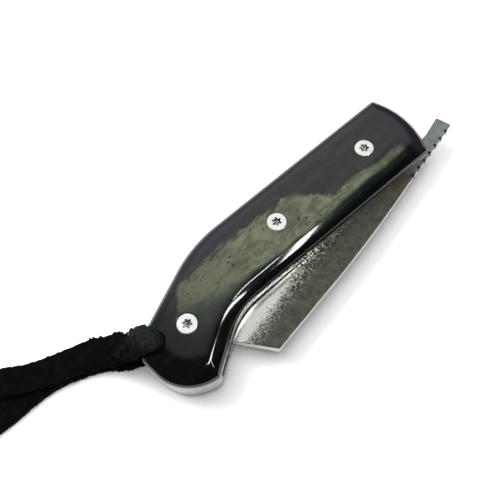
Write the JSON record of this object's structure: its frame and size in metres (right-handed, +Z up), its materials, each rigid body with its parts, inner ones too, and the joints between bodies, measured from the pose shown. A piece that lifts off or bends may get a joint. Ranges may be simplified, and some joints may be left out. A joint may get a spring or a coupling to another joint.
{
  "type": "friction folding knife",
  "caption": "Pocket whittling knife with a wide folding blade, tang lever, polished horn scales on steel liners and a leather thong.",
  "frame": {"origin": "on the blade pivot's axis, in the plane of the far scale's flat face, which the knife rests on", "axes": "+X along the handle from the pivot to the butt, +Y to the side where the closed blade shows, +Z up through the thickness"},
  "size_m": [0.1789, 0.0802, 0.0165],
  "materials": {
    "horn": "dark buffalo horn, polished to a deep gloss, olive and grey marbling",
    "liner_steel": "satin ground steel",
    "blade_steel": "dark forge texture with a ground bevel",
    "washer_bronze": "plain bearing bronze",
    "pin_steel": "turned steel",
    "screw_steel": "bright polished stainless steel",
    "lace_leather": "black suede lace with raw cut edges"
  },
  "bodies": {
    "handle": {"far_scale": "horn", "far_liner": "liner_steel", "back_spacer": "liner_steel", "near_liner": "liner_steel", "near_scale": "horn", "far_washer": "washer_bronze", "near_washer": "washer_bronze", "pivot_barrel": "pin_steel", "pivot_screw_near": "screw_steel", "pivot_screw_far": "screw_steel", "mid_barrel": "pin_steel", "mid_screw_near": "screw_steel", "mid_screw_far": "screw_steel", "rear_barrel": "pin_steel", "rear_screw_near": "screw_steel", "rear_screw_far": "screw_steel", "stop_pin": "pin_steel", "spacer_dowels": "pin_steel", "lanyard_in_hole": "lace_leather", "lanyard_near_tail": "lace_leather", "lanyard_far_tail": "lace_leather"},
    "blade": {"blade": "blade_steel"}
  },
  "joints": [
    {"name": "blade_pivot", "type": "hinge", "parent": "handle", "child": "blade", "pos_m": [0, 0, 0.0072], "axis": [0, 0, 1], "range_deg": [0, 175]}
  ]
}
